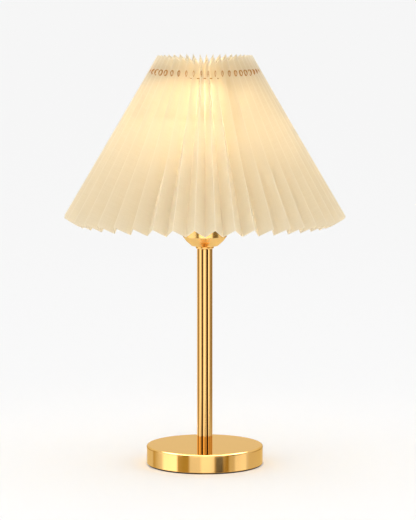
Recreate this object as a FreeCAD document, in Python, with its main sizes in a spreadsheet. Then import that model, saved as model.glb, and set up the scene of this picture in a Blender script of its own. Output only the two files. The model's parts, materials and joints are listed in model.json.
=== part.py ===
"""Table lamp with a pleated shade, in millimetres. +Z is up and the origin is the centre of the
underside. Azimuths are counted from +X, and the front of the lamp looks along -Y. The sheet
Sizes holds the driving dimensions, then the levels and radii that follow from them."""

import FreeCAD
import Part
import Sketcher

import math
import os
import re

from FreeCAD import Vector

# ---------------------------------------------------------------- driving dimensions
SIZES = {
    # base
    "BaseDiameter": 120,
    "BaseHeight": 20,
    "BaseEdge": 1.8,
    "CoverWall": 1.2,
    "RimGap": 1.3,
    "PadThickness": 2.5,
    "FitGap": 0.3,
    "RecessDiameter": 56,
    "RecessRoof": 14.7,
    "ChannelWidth": 13,
    # mains lead inlet in the rear wall
    "InletHeight": 8.6,
    "InletBore": 6,
    "InletNeck": 8.4,
    "InletFlange": 11,
    "FlangeThickness": 1.5,
    # hollow threaded rod and its fasteners
    "RodDiameter": 8,
    "RodBore": 5.6,
    "RodEnd": 8.5,
    "RodGap": 0.2,
    "NutWidth": 13,
    "NutThickness": 4,
    "WasherDiameter": 22,
    "WasherThickness": 1.2,
    # terminal block
    "BlockWidth": 16,
    "BlockDepth": 12,
    "BlockHeight": 7.5,
    "BlockSetback": 12,
    "PoleSpacing": 8,
    "BlockScrew": 4,
    "WireDiameter": 2,
    "WireHole": 3,
    "WireSpacing": 2.6,
    "WireBend": 2.4,
    # reeded stem
    "StemLength": 203.5,
    "ReedCount": 8,
    "ReedCentre": 5.7,
    "ReedRadius": 2.2,
    "StemCore": 5.3,
    "CollarDiameter": 18.4,
    "CollarHeight": 3,
    "CollarEdge": 0.5,
    # holder cup
    "CupDiameter": 45,
    "CupFoot": 27,
    "CupCone": 9.5,
    "CupHeight": 51.5,
    "CupWall": 0.8,
    "CupEdge": 2.2,
    # lampholder
    "HolderGap": 1.7,
    "CapDiameter": 36,
    "CapWall": 2,
    "CapHeight": 25,
    "InsertHeight": 8,
    "TerminalSpacing": 16,
    "TerminalScrew": 2.5,
    "SkirtDiameter": 39.6,
    "SkirtBore": 30.4,
    "SkirtOverlap": 6,
    "SkirtHeight": 34,
    "ThreadGap": 0.06,
    "ShellWall": 0.44,
    "ShellHeight": 25,
    "ShellLip": 4.1,
    "ContactRise": 3.5,
    "ContactWidth": 5,
    "ContactReach": 7,
    "ContactMetal": 0.5,
    "StripWidth": 4,
    # bulb
    "BulbCap": 26.2,
    "CapMetal": 0.4,
    "CapLength": 21,
    "PipDiameter": 9.6,
    "PipHeight": 2,
    "InsulatorHeight": 3.5,
    "InsulatorPlug": 2,
    "BulbNeck": 28.4,
    "NeckHeight": 5,
    "NeckPlug": 6,
    "BodyHeight": 25,
    "BodyWall": 1.4,
    "GlobeRadius": 30,
    "GlobeMouth": 24,
    "GlobeWall": 1.3,
    "BoardThickness": 1.6,
    "DriverWidth": 16,
    "DriverLength": 30,
    "LedCount": 8,
    "LedCircle": 30,
    "LedWidth": 3,
    "LedHeight": 0.8,
    # shade frame
    "FitterDiameter": 66,
    "FitterThickness": 1.6,
    "FitterGap": 0.3,
    "FrameWire": 2.8,
    "RingWire": 2.6,
    "ArmCount": 4,
    "ArmStart": 28.5,
    "ArmBend": 6,
    "FrameTurn": -63,
    "Weld": 0.35,
    "RestGap": 0.3,
    "RingNutDiameter": 54,
    "RingNutFlange": 2.5,
    "RingNutHub": 48,
    "RingNutHeight": 8,
    "GripCount": 24,
    "GripDiameter": 3,
    # pleated shade: a strip folded square to its length
    "ShadeRise": 140.4,
    "ShadeTopRadius": 47,
    "Slant": 30.65,
    "FoldLength": 190.1,
    "PanelWidth": 18.2,
    "PleatCount": 44,
    "SheetThickness": 0.4,
    "CordShare": 0.087,
    "CordReach": 0.32,
    "CordDiameter": 1.2,
    "CordHole": 2.2,
    "SlotLength": 5.5,
    "SlotDepth": 1.5,
    "SlotInset": 2.4,
    "LowerRingShare": 0.305,
    "UpperRingShare": 0.087,
}

# Levels are heights above the underside; the rest are radii and depths that follow.
DERIVED = {
    "StemTop": "BaseHeight + StemLength",
    "CupBottom": "StemTop + CollarHeight",
    "CupTop": "CupBottom + CupHeight",
    "FitterTop": "CupTop + FitterThickness",
    "HolderBottom": "CupBottom + CupWall + NutThickness + HolderGap",
    "RodTop": "HolderBottom + CapWall + RodDiameter / 2",
    "InsertTop": "HolderBottom + CapHeight",
    "InsertBottom": "InsertTop - InsertHeight",
    "SkirtBottom": "InsertTop - SkirtOverlap",
    "PipBottom": "InsertTop + ContactRise",
    "InsulatorBottom": "PipBottom + PipHeight",
    "CapBottom": "InsulatorBottom + InsulatorHeight",
    "NeckBottom": "CapBottom + CapLength",
    "BodyTop": "NeckBottom + NeckHeight + BodyHeight",
    "GlobeDrop": "sqrt(GlobeRadius ^ 2 - GlobeMouth ^ 2)",
    "BoardRadius": "sqrt((GlobeRadius - GlobeWall) ^ 2 - GlobeDrop ^ 2) - FitGap",
    "ShadeTop": "FitterTop + ShadeRise",
    "PadRadius": "BaseDiameter / 2 - CoverWall - FitGap",
    "StemBore": "RodDiameter + 2 * RodGap",
    "PitchLoss": "1 - cos(180 / PleatCount)",
    "ShadeBaseRadius": "ShadeTopRadius + FoldLength * sin(Slant)",
    "ShadeBottom": "ShadeTop - FoldLength * cos(Slant)",
    "TopShift": "ShadeTopRadius * cos(Slant) * PitchLoss",
    "TopDepth": "TopShift + sqrt(TopShift ^ 2 - 2 * ShadeTopRadius ^ 2 * PitchLoss + PanelWidth ^ 2)",
    "BaseShift": "ShadeBaseRadius * cos(Slant) * PitchLoss",
    "BaseDepth": "BaseShift + sqrt(BaseShift ^ 2 - 2 * ShadeBaseRadius ^ 2 * PitchLoss + PanelWidth ^ 2)",
    "InnerTopRadius": "ShadeTopRadius - TopDepth * cos(Slant)",
    "InnerTopLevel": "ShadeTop - TopDepth * sin(Slant)",
    "InnerBaseRadius": "ShadeBaseRadius - BaseDepth * cos(Slant)",
    "InnerBaseLevel": "ShadeBottom - BaseDepth * sin(Slant)",
    "FoldSpread": "SheetThickness / 2 * PanelWidth / sqrt(PanelWidth ^ 2 - TopDepth ^ 2)",
    "RingInset": "RingWire / 2 + FoldSpread + RestGap",
    "LowerRingRadius": "InnerTopRadius + LowerRingShare * (InnerBaseRadius - InnerTopRadius)"
    " - RingInset * cos(Slant)",
    "LowerRingLevel": "InnerTopLevel - LowerRingShare * (InnerTopLevel - InnerBaseLevel)"
    " - RingInset * sin(Slant)",
    "UpperRingRadius": "InnerTopRadius + UpperRingShare * (InnerBaseRadius - InnerTopRadius)"
    " - RingInset * cos(Slant)",
    "UpperRingLevel": "InnerTopLevel - UpperRingShare * (InnerTopLevel - InnerBaseLevel)"
    " - RingInset * sin(Slant)",
    "ArmInset": "(RingWire + FrameWire) / 2 - Weld",
}

document = FreeCAD.newDocument("TableLamp")
sheet = document.addObject("Spreadsheet::Sheet", "Sizes")
for row, (alias, entry) in enumerate({**SIZES, **DERIVED}.items(), start=1):
    sheet.set(f"A{row}", alias)
    sheet.set(f"B{row}", f"={entry}" if alias in DERIVED else str(entry))
    sheet.setAlias(f"B{row}", alias)
document.recompute()

NODES = []


# ---------------------------------------------------------------- helpers
def bound(text):
    """An expression with each size's name pointed at its cell."""
    return re.sub(r"\b([A-Z]\w+)", r"Sizes.\1", text)


def number(text):
    """The value of an expression in the sheet's names."""
    return float(sheet.evalExpression(bound(text)))


def tie(thing, **expressions):
    """Binds properties to expressions. A double underscore stands for a point."""
    for name, text in expressions.items():
        thing.setExpression(name.replace("__", "."), bound(text))
    return thing


def node(thing, label, level="0", **place):
    """Names a sub-part, which also names its file, and sets its height."""
    thing.Label = label
    tie(thing, Placement__Base__z=level, **place)
    NODES.append(thing)
    return thing


def new_body(label, level="0", **place):
    return node(document.addObject("PartDesign::Body", label), label, level, **place)


def new_sketch(body, role, level=None):
    """A sketch on one of the body's own origin planes, raised by level."""
    sketch = body.newObject("Sketcher::SketchObject", "sketch")
    plane = next(f for f in body.Origin.OriginFeatures if f.Role == role)
    sketch.AttachmentSupport = [(plane, "")]
    sketch.MapMode = "FlatFace"
    if level:
        tie(sketch, AttachmentOffset__Base__z=level)
    return sketch


def hold(sketch, geometry, end, across, up):
    """Fixes one point of a sketch by its two distances from the sketch's origin."""
    for kind, axis, text in (("DistanceX", -2, across), ("DistanceY", -1, up)):
        if text == "0":
            sketch.addConstraint(Sketcher.Constraint("PointOnObject", geometry, end, axis))
            continue
        rule = Sketcher.Constraint(kind, -1, 1, geometry, end, number(text))
        sketch.setExpression(f"Constraints[{sketch.addConstraint(rule)}]", bound(text))


def round_corner(sketch, first, second, radius):
    """Rounds the corner where the first line ends and the second starts."""
    line_in = sketch.Geometry[first]
    line_out = sketch.Geometry[second]
    arc = sketch.GeometryCount
    sketch.fillet(first, second, line_in.value(line_in.LastParameter / 2),
                  line_out.value(line_out.LastParameter / 2), number(radius), True, True)
    rule = Sketcher.Constraint("Radius", arc, number(radius))
    sketch.setExpression(f"Constraints[{sketch.addConstraint(rule)}]", bound(radius))


def lines(sketch, corners, closed=True):
    """Straight lines through corners (across, up) or (across, up, rounding radius)."""
    places = [Vector(number(c[0]), number(c[1]), 0) for c in corners]
    ends = places[1:] + places[:1] if closed else places[1:]
    for start, end in zip(places, ends):
        sketch.addGeometry(Part.LineSegment(start, end))
    count = sketch.GeometryCount
    for index in range(0 if closed else 1, count):
        sketch.addConstraint(Sketcher.Constraint("Coincident", (index - 1) % count, 2, index, 1))
    for index, corner in enumerate(corners):
        at_line, at_end = (index, 1) if index < count else (count - 1, 2)
        hold(sketch, at_line, at_end, corner[0], corner[1])
    for index, corner in enumerate(corners):
        if len(corner) == 3:
            round_corner(sketch, (index - 1) % count, index, corner[2])


def circle(sketch, radius, across="0", up="0"):
    place = Vector(number(across), number(up), 0)
    ring = sketch.addGeometry(Part.Circle(place, Vector(0, 0, 1), number(radius)))
    hold(sketch, ring, 3, across, up)
    rule = Sketcher.Constraint("Radius", ring, number(radius))
    sketch.setExpression(f"Constraints[{sketch.addConstraint(rule)}]", bound(radius))


def revolve(body, corners):
    """Turns a closed outline of (radius, height) corners about the body's vertical axis."""
    sketch = new_sketch(body, "XZ_Plane")
    lines(sketch, corners)
    feature = body.newObject("PartDesign::Revolution", "turned")
    feature.Profile = sketch
    feature.ReferenceAxis = (sketch, ["V_Axis"])
    feature.Angle = 360
    return feature


def turned(label, level, corners, **place):
    body = new_body(label, level, **place)
    revolve(body, corners)
    return body


def tube(label, level, outer, inner, length):
    """A plain ring or tube, by its outer and inner radius."""
    return turned(label, level, [(inner, "0"), (outer, "0"), (outer, length), (inner, length)])


def pad(body, length, shapes, role="XY_Plane", level=None, midplane=False):
    """Pads a sketch that shapes(sketch) draws."""
    sketch = new_sketch(body, role, level)
    shapes(sketch)
    feature = body.newObject("PartDesign::Pad", "pad")
    feature.Profile = sketch
    feature.SideType = "Symmetric" if midplane else "One side"
    return tie(feature, Length=length)


def pocket(body, length, shapes, role="XY_Plane", level=None):
    """Cuts a drawn sketch away: upwards from a level plane, or to the rear from the XZ plane."""
    sketch = new_sketch(body, role, level)
    shapes(sketch)
    feature = body.newObject("PartDesign::Pocket", "pocket")
    feature.Profile = sketch
    feature.Reversed = role == "XY_Plane"
    return tie(feature, Length=length)


def polar(body, feature, count):
    """Repeats a feature about the body's vertical axis."""
    pattern = body.newObject("PartDesign::PolarPattern", "pattern")
    pattern.Originals = [feature]
    upright = next(f for f in body.Origin.OriginFeatures if f.Role == "Z_Axis")
    pattern.Axis = (upright, [""])
    pattern.Angle = 360
    tie(pattern, Occurrences=count)
    body.Tip = pattern


def cylinder(radius, length, along="Z", x="0", y="0", z="0"):
    """A plain cylinder from (x, y, z) towards +X, +Y or +Z."""
    thing = document.addObject("Part::Cylinder", "cylinder")
    turn = {"Z": (Vector(0, 0, 1), 0), "X": (Vector(0, 1, 0), 90), "Y": (Vector(1, 0, 0), -90)}
    thing.Placement.Rotation = FreeCAD.Rotation(*turn[along])
    tie(thing, Radius=radius, Height=length)
    return tie(thing, Placement__Base__x=x, Placement__Base__y=y, Placement__Base__z=z)


def box(width, depth, height, x="0", y="0", z="0"):
    """A box centred on x, its near face at y and its underside at z."""
    thing = document.addObject("Part::Box", "box")
    tie(thing, Length=width, Width=depth, Height=height)
    return tie(thing, Placement__Base__x=f"{x} - ({width}) / 2", Placement__Base__y=y,
               Placement__Base__z=z)


def joined(things):
    fuse = document.addObject("Part::MultiFuse", "joined")
    fuse.Shapes = things
    return fuse


def grouped(things):
    """Separate solids that make one sub-part."""
    group = document.addObject("Part::Compound", "group")
    group.Links = things
    return group


def cut(base, tools):
    result = document.addObject("Part::Cut", "cut")
    result.Base = base
    result.Tool = tools[0] if len(tools) == 1 else joined(tools)
    return result


def hex_nut(label, level):
    """A plain hexagonal nut on the threaded rod."""
    prism = document.addObject("Part::Prism", "hexagon")
    prism.Polygon = 6
    tie(prism, Circumradius="NutWidth / sqrt(3)", Height="NutThickness")
    hole = cylinder("RodDiameter / 2 + ThreadGap", "NutThickness")
    return node(cut(prism, [hole]), label, level)


def feature(label, shape):
    """A sub-part whose shape follows a rule that no feature makes."""
    thing = document.addObject("Part::Feature", label)
    thing.Shape = shape
    thing.Placement = FreeCAD.Placement()
    thing.Label = label
    NODES.append(thing)
    return thing


# ---------------------------------------------------------------- base
def base_cover():
    """Spun metal shell, open below, with a rounded top edge and a hole for the lead's bush."""
    body = new_body("base_cover", "RimGap")
    outer = "BaseDiameter / 2"
    top = "BaseHeight - RimGap"
    inner = "BaseDiameter / 2 - CoverWall"
    roof = "BaseHeight - RimGap - CoverWall"
    revolve(body, [
        (inner, "0"), (outer, "0"), (outer, top, "BaseEdge"), ("StemBore / 2", top),
        ("StemBore / 2", roof), (inner, roof, "BaseEdge - CoverWall"),
    ])
    pocket(body, "BaseDiameter / 2 + 1",
           lambda s: circle(s, "InletNeck / 2 + RodGap", "0", "InletHeight - RimGap"), "XZ_Plane")


def base_weight():
    """Cast disc that fills the cover, recessed below for the nut, the wiring and the lead."""
    body = new_body("base_weight", "PadThickness")
    height = "BaseHeight - CoverWall - PadThickness"
    roof = "RecessRoof - PadThickness"
    revolve(body, [
        ("RecessDiameter / 2", "0"), ("PadRadius", "0"), ("PadRadius", height, "BaseEdge"),
        ("StemBore / 2", height), ("StemBore / 2", roof), ("RecessDiameter / 2", roof),
    ])
    half = "ChannelWidth / 2"
    near = "RecessDiameter / 2 - ChannelWidth / 2"
    far = "BaseDiameter / 2"
    channel = [(f"-{half}", near), (half, near), (half, far), (f"-{half}", far)]
    pocket(body, roof, lambda s: lines(s, channel))


def base_fittings():
    """The pad under the lamp, and the washer and nut that pull the rod down."""
    pad_disc = cylinder("PadRadius", "PadThickness")
    node(pad_disc, "base_pad")
    tube("base_washer", "RecessRoof - WasherThickness", "WasherDiameter / 2", "StemBore / 2",
         "WasherThickness")
    hex_nut("base_nut", "RecessRoof - WasherThickness - NutThickness")


def cord_grommet():
    """Bush in the rear wall, with a flange outside and a snap lip inside."""
    wall = "CoverWall + FitGap"
    tail = "CoverWall + 2 * FitGap + FlangeThickness"
    body = turned("cord_grommet", "InletHeight", [
        ("InletBore / 2", f"-({tail})"), ("InletFlange / 2 - FitGap", f"-({tail})"),
        ("InletFlange / 2 - FitGap", f"-({wall})"), ("InletNeck / 2", f"-({wall})"),
        ("InletNeck / 2", "0"), ("InletFlange / 2", "0"),
        ("InletFlange / 2", "FlangeThickness"), ("InletBore / 2", "FlangeThickness"),
    ], Placement__Base__y="BaseDiameter / 2")
    body.Placement.Rotation = FreeCAD.Rotation(Vector(1, 0, 0), -90)


def terminal_block():
    """Two-pole block: stepped wire holes front to back and two clamp screws from above."""
    depth = "BlockHeight / 2 - WireDiameter / 2 - RodGap"
    centre = "BlockHeight / 2"
    poles = ["-PoleSpacing / 2", "PoleSpacing / 2"]
    tools = [cylinder("WireHole / 2", "BlockDepth", "Y", x=pole, y="0", z=centre) for pole in poles]
    rise = f"BlockHeight - ({depth})"
    tools += [cylinder("BlockScrew / 2 + RodGap", depth, x=pole, y="BlockDepth / 4", z=rise)
              for pole in poles]
    block = cut(box("BlockWidth", "BlockDepth", "BlockHeight"), tools)
    node(block, "terminal_block", "PadThickness", Placement__Base__y="BlockSetback")
    screws = [cylinder("BlockScrew / 2", depth, x=pole, y="BlockDepth / 4", z=rise)
              for pole in poles]
    node(grouped(screws), "terminal_block_screws", "PadThickness", Placement__Base__y="BlockSetback")


# ---------------------------------------------------------------- stem
def tie_rod():
    tube("tie_rod", "RodEnd", "RodDiameter / 2", "RodBore / 2", "RodTop - RodEnd")


def stem_tube():
    """Drawn tube with convex reeds all round, one of them facing the front."""
    body = new_body("stem_tube", "BaseHeight")
    pad(body, "StemLength", lambda s: circle(s, "StemCore"))
    reed = pad(body, "StemLength", lambda s: circle(s, "ReedRadius", "0", "-ReedCentre"))
    polar(body, reed, "ReedCount")
    pocket(body, "StemLength", lambda s: circle(s, "StemBore / 2"))


def stem_collar():
    edge = "CollarDiameter / 2"
    turned("stem_collar", "StemTop", [
        ("StemBore / 2", "0"), (edge, "0", "CollarEdge"), (edge, "CollarHeight", "CollarEdge"),
        ("StemBore / 2", "CollarHeight"),
    ])


def rounded_path(points, radii):
    """Straight runs joined by tangent arcs, one radius for each inner point."""
    edges = []
    start = points[0]
    for before, corner, after, radius in zip(points, points[1:], points[2:], radii):
        back = (before - corner).normalize()
        ahead = (after - corner).normalize()
        half = back.getAngle(ahead) / 2
        first = corner + back * (radius / math.tan(half))
        last = corner + ahead * (radius / math.tan(half))
        inward = (back + ahead).normalize()
        middle = corner + inward * (radius / math.sin(half) - radius)
        edges += [Part.LineSegment(start, first).toShape(), Part.Arc(first, middle, last).toShape()]
        start = last
    edges.append(Part.LineSegment(start, points[-1]).toShape())
    return Part.Wire(edges)


def swept(path, radius):
    """A round bar along a path."""
    start = path.Edges[0]
    outline = Part.Wire(Part.makeCircle(radius, start.valueAt(start.FirstParameter),
                                        start.tangentAt(start.FirstParameter)))
    return path.makePipeShell([outline], True, True)


def inner_wires():
    """Two insulated wires from the terminal block, up the rod, to the lampholder's terminals."""
    radius = number("WireDiameter / 2")
    low = number("PadThickness + BlockHeight / 2")
    block = number("BlockSetback")
    stripped = number("BlockDepth / 3")
    terminal = number("InsertBottom")
    bend = number("RodTop + WireHole")
    curves = [number("2 * WireDiameter")] + [number("WireBend")] * 3
    for label, side in (("live_wire", -1), ("neutral_wire", 1)):
        pole = side * number("PoleSpacing / 2")
        lane = side * number("WireSpacing / 2")
        screw = side * number("TerminalSpacing / 2")
        route = [
            Vector(pole, block + stripped, low), Vector(pole, block - 2 * radius, low),
            Vector(lane, 0, low), Vector(lane, 0, bend),
            Vector(screw, 0, terminal - number("WireHole")),
            Vector(screw, 0, terminal + number("InsertHeight * 0.6")),
        ]
        feature(label, swept(rounded_path(route, curves), radius))


# ---------------------------------------------------------------- holder cup and lampholder
def holder_cup():
    """Spun cup: a short cone that turns up into a straight wall round the lampholder."""
    outer = "CupDiameter / 2"
    inner = "CupDiameter / 2 - CupWall"
    foot = "CupFoot / 2"
    turned("holder_cup", "CupBottom", [
        ("StemBore / 2", "0"), (foot, "0", "CupWall"), (outer, "CupCone", "CupEdge"),
        (outer, "CupHeight"), (inner, "CupHeight"),
        (inner, "CupCone + CupWall / 2", "CupEdge - CupWall"),
        (f"{foot} - CupWall / 2", "CupWall"), ("StemBore / 2", "CupWall"),
    ])
    hex_nut("cup_nut", "CupBottom + CupWall")


def lampholder_cap():
    """Closed cup that screws on the rod and carries the insert on a ledge."""
    outer = "CapDiameter / 2"
    inner = "CapDiameter / 2 - CapWall"
    ledge = "CapHeight - InsertHeight"
    turned("lampholder_cap", "HolderBottom", [
        ("RodDiameter / 2 + ThreadGap", "0"), (outer, "0", "CapWall"), (outer, "CapHeight"),
        (inner, "CapHeight"), (inner, ledge), (f"{inner} - CapWall", ledge),
        (f"{inner} - CapWall", "CapWall"), ("RodDiameter / 2 + ThreadGap", "CapWall"),
    ])


def lampholder_insert():
    """Insulating disc with a blind wire hole and a radial clamp screw at each terminal."""
    radius = "CapDiameter / 2 - CapWall - RodGap"
    wire_side = "(TerminalSpacing + WireDiameter) / 2"
    reach = f"{radius} - {wire_side}"
    tools = []
    screws = []
    for sign, start in (("-", f"-({radius})"), ("", wire_side)):
        tools.append(cylinder("WireHole / 2", "InsertHeight * 0.7", x=f"{sign}TerminalSpacing / 2"))
        tools.append(cylinder("TerminalScrew / 2 + RodGap / 2", reach, "X", x=start, z="InsertHeight / 2"))
        screws.append(cylinder("TerminalScrew / 2", reach, "X", x=start, z="InsertHeight / 2"))
    node(cut(cylinder(radius, "InsertHeight"), tools), "lampholder_insert", "InsertBottom")
    node(grouped(screws), "terminal_screws", "InsertBottom")


def lampholder_body():
    """Insulating skirt that screws over the cap, threaded outside for the ring nut."""
    wide = "CapDiameter / 2 + ThreadGap"
    outer = "SkirtDiameter / 2"
    roof = "SkirtOverlap + RodGap"
    top = "SkirtOverlap + SkirtHeight"
    turned("lampholder_body", "SkirtBottom", [
        (wide, "0"), (outer, "0"), (outer, top), ("SkirtBore / 2", top),
        ("SkirtBore / 2", roof), (wide, roof),
    ])


def lampholder_contacts():
    """Screw shell with an inward lip, sprung centre tongue and the strip that feeds the shell."""
    bore = "BulbCap / 2 + ThreadGap"
    rim = f"{bore} + ShellWall"
    turned("screw_shell", "InsertTop", [
        (f"{bore} - ShellLip", "0"), (rim, "0"), (rim, "ShellHeight"), (bore, "ShellHeight"),
        (bore, "ShellWall"), (f"{bore} - ShellLip", "ShellWall"),
    ])
    body = new_body("centre_contact", "InsertTop")
    top = "ContactRise"
    under = "ContactRise - ContactMetal"
    heel = "ContactReach * 0.45"
    crest = "ContactReach * 0.1"
    toe = "ContactWidth / 2"
    pad(body, "ContactWidth", lambda s: lines(s, [
        ("-ContactReach", "0"), (f"-{heel}", "0"), (f"-{crest}", under), (toe, under), (toe, top),
        (f"-{crest} - ContactMetal / 2", top), (f"-{heel} - ContactMetal / 2", "ContactMetal"),
        ("-ContactReach", "ContactMetal"),
    ]), "XZ_Plane", midplane=True)
    strip = box("ShellLip - 1", "StripWidth", "ContactMetal", x=f"{bore} - ShellLip / 2 - FitGap",
                y="-StripWidth / 2")
    node(strip, "side_contact", "InsertTop + ShellWall")


# ---------------------------------------------------------------- bulb
def bulb():
    """Screw-capped globe: contact, insulator, metal cap, body, driver, light board and cover."""
    node(cylinder("PipDiameter / 2", "PipHeight"), "bulb_contact", "PipBottom")
    plug = "BulbCap / 2 - CapMetal - ThreadGap"
    shoulder = "InsulatorHeight + InsulatorPlug"
    turned("bulb_insulator", "InsulatorBottom", [
        ("0", "0"), ("PipDiameter / 2 + FitGap", "0"), (plug, "InsulatorHeight"),
        (plug, shoulder), ("0", shoulder),
    ])
    tube("bulb_cap", "CapBottom", "BulbCap / 2", "BulbCap / 2 - CapMetal", "CapLength")
    neck = "BulbNeck / 2"
    start = "NeckPlug + NeckHeight"
    top = f"{start} + BodyHeight"
    turned("bulb_body", "NeckBottom - NeckPlug", [
        (f"{plug} - BodyWall", "0"), (plug, "0"), (plug, "NeckPlug"), (neck, "NeckPlug"),
        (neck, start, "3"), ("GlobeMouth", top), ("BoardRadius - FitGap", top),
        ("BoardRadius - FitGap", f"{top} - BodyWall"), (f"{neck} - BodyWall", f"{start} + 0.5"),
        (f"{plug} - BodyWall", f"{start} - 3"),
    ])
    node(cylinder("BoardRadius", "BoardThickness"), "bulb_led_board", "BodyTop")
    leds = []
    for place in range(SIZES["LedCount"]):
        turn = f"360 / LedCount * {place}"
        leds.append(box("LedWidth", "LedWidth", "LedHeight", x=f"LedCircle / 2 * cos({turn})",
                        y=f"LedCircle / 2 * sin({turn}) - LedWidth / 2"))
    node(grouped(leds), "bulb_leds", "BodyTop + BoardThickness")
    driver = box("DriverWidth", "BoardThickness", "DriverLength", y="-BoardThickness / 2")
    node(driver, "bulb_driver", "BodyTop - DriverLength")
    outer = document.addObject("Part::Sphere", "globe")
    tie(outer, Radius="GlobeRadius", Angle1="-asin(GlobeDrop / GlobeRadius)")
    hollow = document.addObject("Part::Sphere", "hollow")
    tie(hollow, Radius="GlobeRadius - GlobeWall")
    node(cut(outer, [hollow]), "bulb_globe", "BodyTop + GlobeDrop")


# ---------------------------------------------------------------- shade frame
def shade_frame():
    """Fitter ring on the cup's rim, two rings inside the shade and the wires that join them."""
    tube("fitter_ring", "CupTop", "FitterDiameter / 2", "SkirtDiameter / 2 + FitterGap",
         "FitterThickness")
    for label in ("lower_ring", "upper_ring"):
        ring = document.addObject("Part::Torus", label)
        name = label.title().replace("_", "")
        tie(ring, Radius1=f"{name}Radius", Radius2="RingWire / 2")
        node(ring, label, f"{name}Level")
    body = new_body("frame_arms", "FitterTop")
    body.Placement.Rotation = FreeCAD.Rotation(Vector(0, 0, 1), number("FrameTurn"))
    foot = "FrameWire / 2 - Weld"
    spine = new_sketch(body, "XZ_Plane")
    knee = "ArmBend / 2"
    across = f"LowerRingRadius - ArmInset * cos(Slant) + {knee} * sin(Slant)"
    up = f"LowerRingLevel - FitterTop - ArmInset * sin(Slant) - {knee} * cos(Slant)"
    lines(spine, [
        ("ArmStart", foot), ("FitterDiameter / 2 + 2", foot, "ArmBend"), (across, up, "ArmBend"),
        ("UpperRingRadius - ArmInset * cos(Slant) - RingWire * sin(Slant)",
         "UpperRingLevel - FitterTop - ArmInset * sin(Slant) + RingWire * cos(Slant)"),
    ], closed=False)
    profile = new_sketch(body, "YZ_Plane", "ArmStart")
    circle(profile, "FrameWire / 2", "0", foot)
    arm = body.newObject("PartDesign::AdditivePipe", "arm")
    arm.Profile = profile
    arm.Spine = spine
    document.recompute()
    polar(body, arm, "ArmCount")


def shade_ring_nut():
    """Flanged ring nut on the lampholder's skirt, with finger grips round its hub."""
    body = new_body("shade_ring_nut", "FitterTop")
    bore = "SkirtDiameter / 2 + ThreadGap"
    revolve(body, [
        (bore, "0"), ("RingNutDiameter / 2", "0"), ("RingNutDiameter / 2", "RingNutFlange"),
        ("RingNutHub / 2", "RingNutFlange"), ("RingNutHub / 2", "RingNutHeight"),
        (bore, "RingNutHeight"),
    ])
    grip = pocket(body, "RingNutHeight", lambda s: circle(s, "GripDiameter / 2", "RingNutHub / 2"),
                  level="RingNutFlange")
    polar(body, grip, "GripCount")


# ---------------------------------------------------------------- pleated shade
def fold_line(outer, spread):
    """Both ends of a fold at azimuth 0, moved out by spread along the pleat's depth."""
    if outer:
        ends = [("ShadeTopRadius", "ShadeTop", "TopDepth"),
                ("ShadeBaseRadius", "ShadeBottom", "BaseDepth")]
    else:
        ends = [("InnerTopRadius", "InnerTopLevel", "TopDepth"),
                ("InnerBaseRadius", "InnerBaseLevel", "BaseDepth")]
    slant = math.radians(number("Slant"))
    points = []
    for radius, level, depth in ends:
        panel = number("PanelWidth")
        opening = math.sqrt(panel**2 - number(depth) ** 2) / panel
        shift = spread / opening
        points.append(Vector(number(radius) + shift * math.cos(slant), 0,
                             number(level) + shift * math.sin(slant)))
    return points


def turn(point, degrees):
    return FreeCAD.Rotation(Vector(0, 0, 1), degrees).multVec(point)


def quad(faces, a, b, c, d):
    """Two triangles, split from a to c."""
    for corners in ((a, b, c), (a, c, d)):
        faces.append(Part.Face(Part.makePolygon([*corners, corners[0]])))


def pleated_shade():
    """The folded strip as one closed thin solid, open at both ends. It has a hole over each outer
    fold and two holes beside each inner fold, for the cord. Its first fold is an outer one, a
    step round from the inner fold that faces the front."""
    count = int(number("PleatCount"))
    half = number("SheetThickness / 2")
    step = 180 / count
    walls = []
    for spread in (half, -half):
        folds = [fold_line(True, spread), fold_line(False, spread)]
        walls.append([[turn(p, step * (i + 1) - 90) for p in folds[i % 2]] for i in range(2 * count)])
    outer, inner = walls
    faces = []
    for i in range(2 * count):
        j = (i + 1) % (2 * count)
        mountain, valley = (i, j) if i % 2 == 0 else (j, i)
        quad(faces, outer[mountain][0], outer[valley][0], outer[valley][1], outer[mountain][1])
        quad(faces, inner[mountain][0], inner[valley][0], inner[valley][1], inner[mountain][1])
        for end in (0, 1):
            quad(faces, outer[i][end], outer[j][end], inner[j][end], inner[i][end])
    shell = Part.makeShell(faces)
    shell.sewShape()
    solid = Part.makeSolid(shell)
    if solid.Volume < 0:
        solid.reverse()
    radius, level = cord_circle()
    top, end = fold_line(True, 0)
    fold = top + (end - top) * number("CordShare")
    slant = math.radians(number("Slant"))
    inwards = Vector(-math.cos(slant), 0, -math.sin(slant))
    slot = fold + inwards * number("SlotInset")
    punches = []
    for i in range(2 * count):
        if i % 2 == 0:
            tool = punch(slot.x, slot.z, number("SlotDepth"), number("SlotLength / 2"))
        else:
            tool = punch(radius, level, number("CordHole / 2"), number("CordHole / 2"))
        punches.append(tool.rotate(Vector(0, 0, 0), Vector(0, 0, 1), step * (i + 1) - 90))
    feature("pleated_shade", solid.cut(punches))
    cord = document.addObject("Part::Torus", "gather_cord")
    cord.Radius1 = radius
    tie(cord, Radius2="CordDiameter / 2")
    node(cord, "gather_cord", str(level))


def punch(radius, level, half_width, half_length):
    """A six-sided punch, long way along the slant, through both panels beside a fold at azimuth 0."""
    reach = number("SlotLength / 2")
    slant = math.radians(number("Slant"))
    across = Vector(math.cos(slant), 0, math.sin(slant)) * half_width
    along = Vector(-math.sin(slant), 0, math.cos(slant)) * half_length
    centre = Vector(radius, -reach, level)
    corners = [centre + across * math.cos(a) + along * math.sin(a)
               for a in (math.radians(60 * k + 30) for k in range(6))]
    outline = Part.Face(Part.makePolygon([*corners, corners[0]]))
    return outline.extrude(Vector(0, 2 * reach, 0))


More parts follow.
